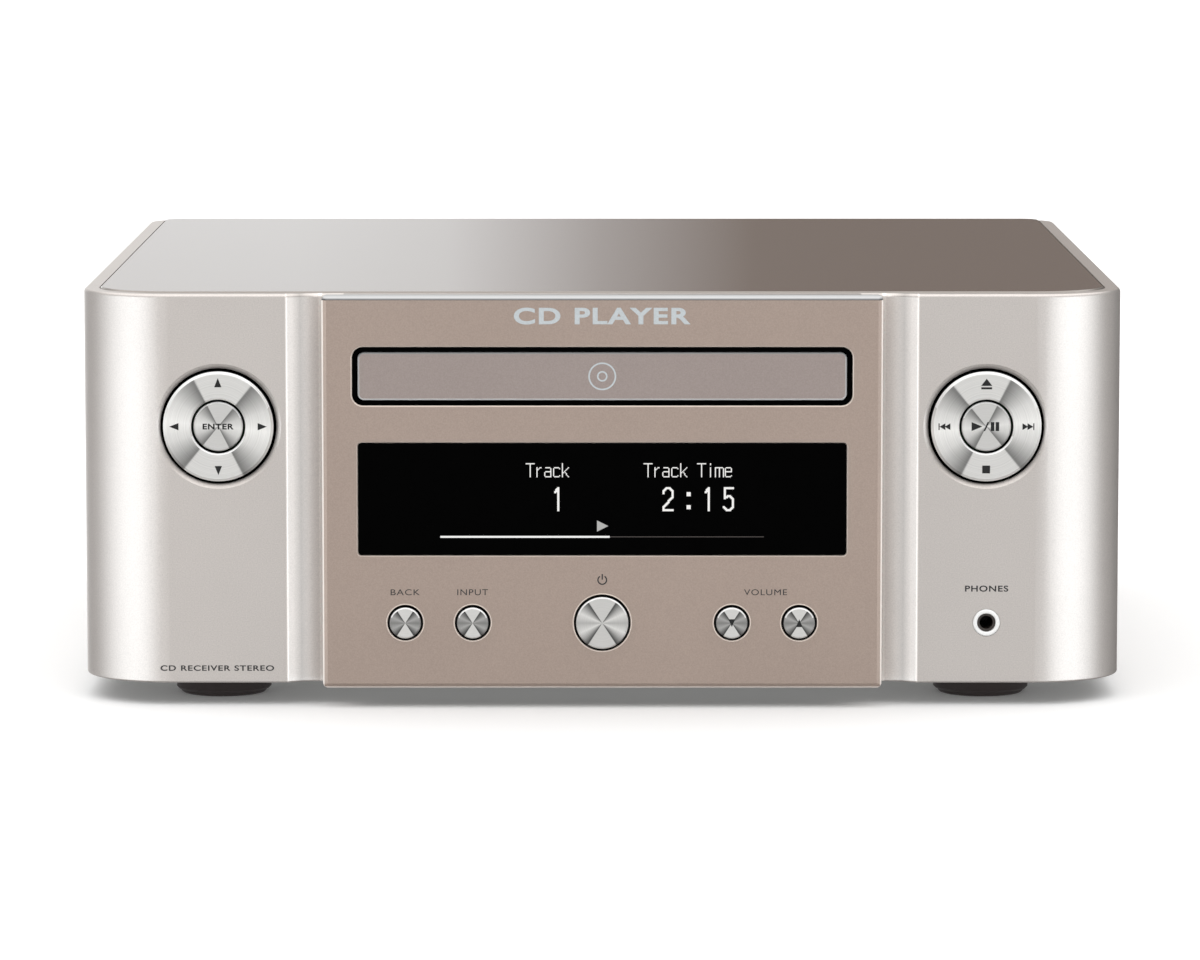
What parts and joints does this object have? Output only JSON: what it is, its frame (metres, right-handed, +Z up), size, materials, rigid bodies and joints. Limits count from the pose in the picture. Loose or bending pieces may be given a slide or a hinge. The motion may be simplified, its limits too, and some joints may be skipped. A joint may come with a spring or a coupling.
{
  "type": "cd player",
  "caption": "Compact disc player with built-in amplifier: rounded silver case, raised centre plate with sliding disc tray, display, round keys and ring pads.",
  "frame": {"origin": "centre of the overall footprint at the underside of the feet", "axes": "+Z up, -Y towards the front face, +X to the right seen from the front"},
  "size_m": [0.28, 0.303, 0.111],
  "materials": {
    "silver_moulding": "fine metallic lacquer on a moulding",
    "centre_plate": "satin champagne, bevelled edge",
    "top_plate": "polished hard coat over metallic base",
    "steel_sheet": "zinc-coated sheet",
    "rear_sheet": "fine black texture paint",
    "foot_plastic": "dark soft moulding",
    "screw_steel": "blackened steel",
    "bezel_black": "black moulding",
    "window": "smoked polished acrylic",
    "display": "dark display glass",
    "socket": "black moulding with a bright collar",
    "circuit_board": "green laminate",
    "loader_plastic": "glass-filled moulding",
    "tray_plastic": "black moulding",
    "tray_door": "satin champagne",
    "gear_plastic": "natural acetal",
    "belt_rubber": "black rubber",
    "motor_can": "plated can",
    "rod_steel": "ground and polished",
    "spun_metal": "spun face, bright bevel",
    "button_metal": "satin",
    "carrier_plastic": "black moulding",
    "heat_sink": "black anodised",
    "cable": "flat cable",
    "terminal_block": "black moulding",
    "gold": "gold flash",
    "cap_clear": "fluted moulding"
  },
  "bodies": {
    "cabinet": {"front_panel": "silver_moulding", "side_panel_left": "silver_moulding", "side_panel_right": "silver_moulding", "top_plate": "top_plate", "top_cover": "steel_sheet", "bottom_chassis": "steel_sheet", "rear_panel": "rear_sheet", "feet": "foot_plastic", "case_screws": "screw_steel", "centre_plate": "centre_plate", "tray_bezel": "bezel_black", "display_window": "window", "display_module": "display", "headphone_socket": "socket", "key_boards": "circuit_board", "loader_frame": "loader_plastic", "clamp_bridge": "steel_sheet", "loading_motor": "motor_can", "loading_belt": "belt_rubber", "power_board": "circuit_board", "amplifier_board": "circuit_board", "heat_sink": "heat_sink", "main_board": "circuit_board", "ribbon_cables": "cable", "speaker_block": "terminal_block", "speaker_posts": "gold", "phono_sockets": "terminal_block", "rear_sockets": "socket"},
    "tray": {"disc_tray": "tray_plastic", "tray_door": "tray_door"},
    "drive_gear": {"drive_gear": "gear_plastic"},
    "idler_gear": {"idler_gear": "gear_plastic"},
    "motor_pulley": {"motor_pulley": "gear_plastic"},
    "lift": {"lift_frame": "loader_plastic", "pickup_chassis": "steel_sheet", "dampers": "belt_rubber", "guide_rods": "rod_steel", "pickup_motors": "motor_can"},
    "cam_slider": {"cam_slider": "gear_plastic"},
    "turntable": {"turntable": "loader_plastic"},
    "clamper": {"clamper": "loader_plastic"},
    "sled": {"sled": "loader_plastic"},
    "lens_holder": {"lens_holder": "loader_plastic"},
    "sled_gear": {"sled_gear": "gear_plastic"},
    "sled_pinion": {"sled_pinion": "gear_plastic"},
    "back_button": {"back_button": "button_metal"},
    "input_button": {"input_button": "button_metal"},
    "power_button": {"power_button": "button_metal"},
    "volume_down_button": {"volume_down_button": "button_metal"},
    "volume_up_button": {"volume_up_button": "button_metal"},
    "menu_carrier": {"menu_carrier": "carrier_plastic"},
    "menu_ring": {"menu_ring": "spun_metal"},
    "transport_carrier": {"transport_carrier": "carrier_plastic"},
    "transport_ring": {"transport_ring": "spun_metal"},
    "enter_key": {"enter_key": "spun_metal"},
    "play_key": {"play_key": "spun_metal"},
    "speaker_cap_1": {"speaker_cap_1": "cap_clear"},
    "speaker_cap_2": {"speaker_cap_2": "cap_clear"},
    "speaker_cap_3": {"speaker_cap_3": "cap_clear"},
    "speaker_cap_4": {"speaker_cap_4": "cap_clear"}
  },
  "joints": [
    {"name": "tray_slide", "type": "slide", "parent": "cabinet", "child": "tray", "axis": [0, -1, 0], "range_m": [0, 0.132]},
    {"name": "drive_gear_turn", "type": "hinge", "parent": "cabinet", "child": "drive_gear", "pos_m": [-0.038, -0.117, 0.084], "axis": [0, 0, 1], "range_deg": [0, 631.25]},
    {"name": "idler_gear_turn", "type": "hinge", "parent": "cabinet", "child": "idler_gear", "pos_m": [-0.018, -0.117, 0.084], "axis": [0, 0, 1], "range_deg": [-946.38, 0]},
    {"name": "motor_pulley_turn", "type": "hinge", "parent": "cabinet", "child": "motor_pulley", "pos_m": [0.028, -0.117, 0.0769], "axis": [0, 0, 1], "range_deg": [-3467.39, 0]},
    {"name": "lift_tilt", "type": "hinge", "parent": "cabinet", "child": "lift", "pos_m": [0, 0.028, 0.07], "axis": [-1, 0, 0], "range_deg": [0, 4.5]},
    {"name": "cam_slide", "type": "slide", "parent": "cabinet", "child": "cam_slider", "axis": [1, 0, 0], "range_m": [0, 0.01771]},
    {"name": "turntable_spin", "type": "hinge", "parent": "lift", "child": "turntable", "pos_m": [0, -0.07744, 0.08417], "axis": [0, -0.0785, 0.9969], "continuous": true},
    {"name": "clamper_spin", "type": "hinge", "parent": "cabinet", "child": "clamper", "pos_m": [0, -0.076, 0.099], "axis": [0, 0, 1], "continuous": true},
    {"name": "sled_slide", "type": "slide", "parent": "lift", "child": "sled", "axis": [0, 0.9969, 0.0785], "range_m": [0, 0.035]},
    {"name": "lens_focus", "type": "slide", "parent": "sled", "child": "lens_holder", "axis": [0, -0.0785, 0.9969], "range_m": [-0.0005, 0.0005]},
    {"name": "sled_gear_turn", "type": "hinge", "parent": "lift", "child": "sled_gear", "pos_m": [0.0407, -0.03013, 0.06944], "axis": [0, -0.0785, 0.9969], "range_deg": [-279.52, 0]},
    {"name": "sled_pinion_turn", "type": "hinge", "parent": "lift", "child": "sled_pinion", "pos_m": [0.0407, -0.01243, 0.06882], "axis": [0, -0.0785, 0.9969], "range_deg": [0, 597.83]},
    {"name": "back_press", "type": "slide", "parent": "cabinet", "child": "back_button", "axis": [0, 1, 0], "range_m": [0, 0.0006]},
    {"name": "input_press", "type": "slide", "parent": "cabinet", "child": "input_button", "axis": [0, 1, 0], "range_m": [0, 0.0006]},
    {"name": "power_press", "type": "slide", "parent": "cabinet", "child": "power_button", "axis": [0, 1, 0], "range_m": [0, 0.0006]},
    {"name": "volume_down_press", "type": "slide", "parent": "cabinet", "child": "volume_down_button", "axis": [0, 1, 0], "range_m": [0, 0.0006]},
    {"name": "volume_up_press", "type": "slide", "parent": "cabinet", "child": "volume_up_button", "axis": [0, 1, 0], "range_m": [0, 0.0006]},
    {"name": "menu_up_down", "type": "hinge", "parent": "cabinet", "child": "menu_carrier", "pos_m": [-0.1026, -0.1335, 0.0752], "axis": [1, 0, 0], "range_deg": [-2, 2]},
    {"name": "menu_left_right", "type": "hinge", "parent": "menu_carrier", "child": "menu_ring", "pos_m": [-0.1026, -0.1392, 0.0752], "axis": [0, 0, 1], "range_deg": [-2, 2]},
    {"name": "transport_up_down", "type": "hinge", "parent": "cabinet", "child": "transport_carrier", "pos_m": [0.1026, -0.1335, 0.0752], "axis": [1, 0, 0], "range_deg": [-2, 2]},
    {"name": "transport_left_right", "type": "hinge", "parent": "transport_carrier", "child": "transport_ring", "pos_m": [0.1026, -0.1392, 0.0752], "axis": [0, 0, 1], "range_deg": [-2, 2]},
    {"name": "enter_press", "type": "slide", "parent": "cabinet", "child": "enter_key", "axis": [0, 1, 0], "range_m": [0, 0.0006]},
    {"name": "play_press", "type": "slide", "parent": "cabinet", "child": "play_key", "axis": [0, 1, 0], "range_m": [0, 0.0006]},
    {"name": "speaker_cap_1_turn", "type": "hinge", "parent": "cabinet", "child": "speaker_cap_1", "pos_m": [-0.0715, 0.145, 0.0245], "axis": [0, 1, 0], "continuous": true},
    {"name": "speaker_cap_2_turn", "type": "hinge", "parent": "cabinet", "child": "speaker_cap_2", "pos_m": [-0.0715, 0.145, 0.0435], "axis": [0, 1, 0], "continuous": true},
    {"name": "speaker_cap_3_turn", "type": "hinge", "parent": "cabinet", "child": "speaker_cap_3", "pos_m": [-0.0525, 0.145, 0.0245], "axis": [0, 1, 0], "continuous": true},
    {"name": "speaker_cap_4_turn", "type": "hinge", "parent": "cabinet", "child": "speaker_cap_4", "pos_m": [-0.0525, 0.145, 0.0435], "axis": [0, 1, 0], "continuous": true}
  ],
  "couplings": [
    {"joint": "drive_gear_turn", "follows": "tray_slide", "rad_per_m": 83.333},
    {"joint": "idler_gear_turn", "follows": "tray_slide", "rad_per_m": -125},
    {"joint": "motor_pulley_turn", "follows": "tray_slide", "rad_per_m": -458.33},
    {"joint": "cam_slide", "follows": "lift_tilt", "m_per_rad": 0.22485},
    {"joint": "clamper_spin", "follows": "turntable_spin", "ratio": 1},
    {"joint": "sled_gear_turn", "follows": "sled_slide", "rad_per_m": -138.89},
    {"joint": "sled_pinion_turn", "follows": "sled_slide", "rad_per_m": 297.62}
  ]
}
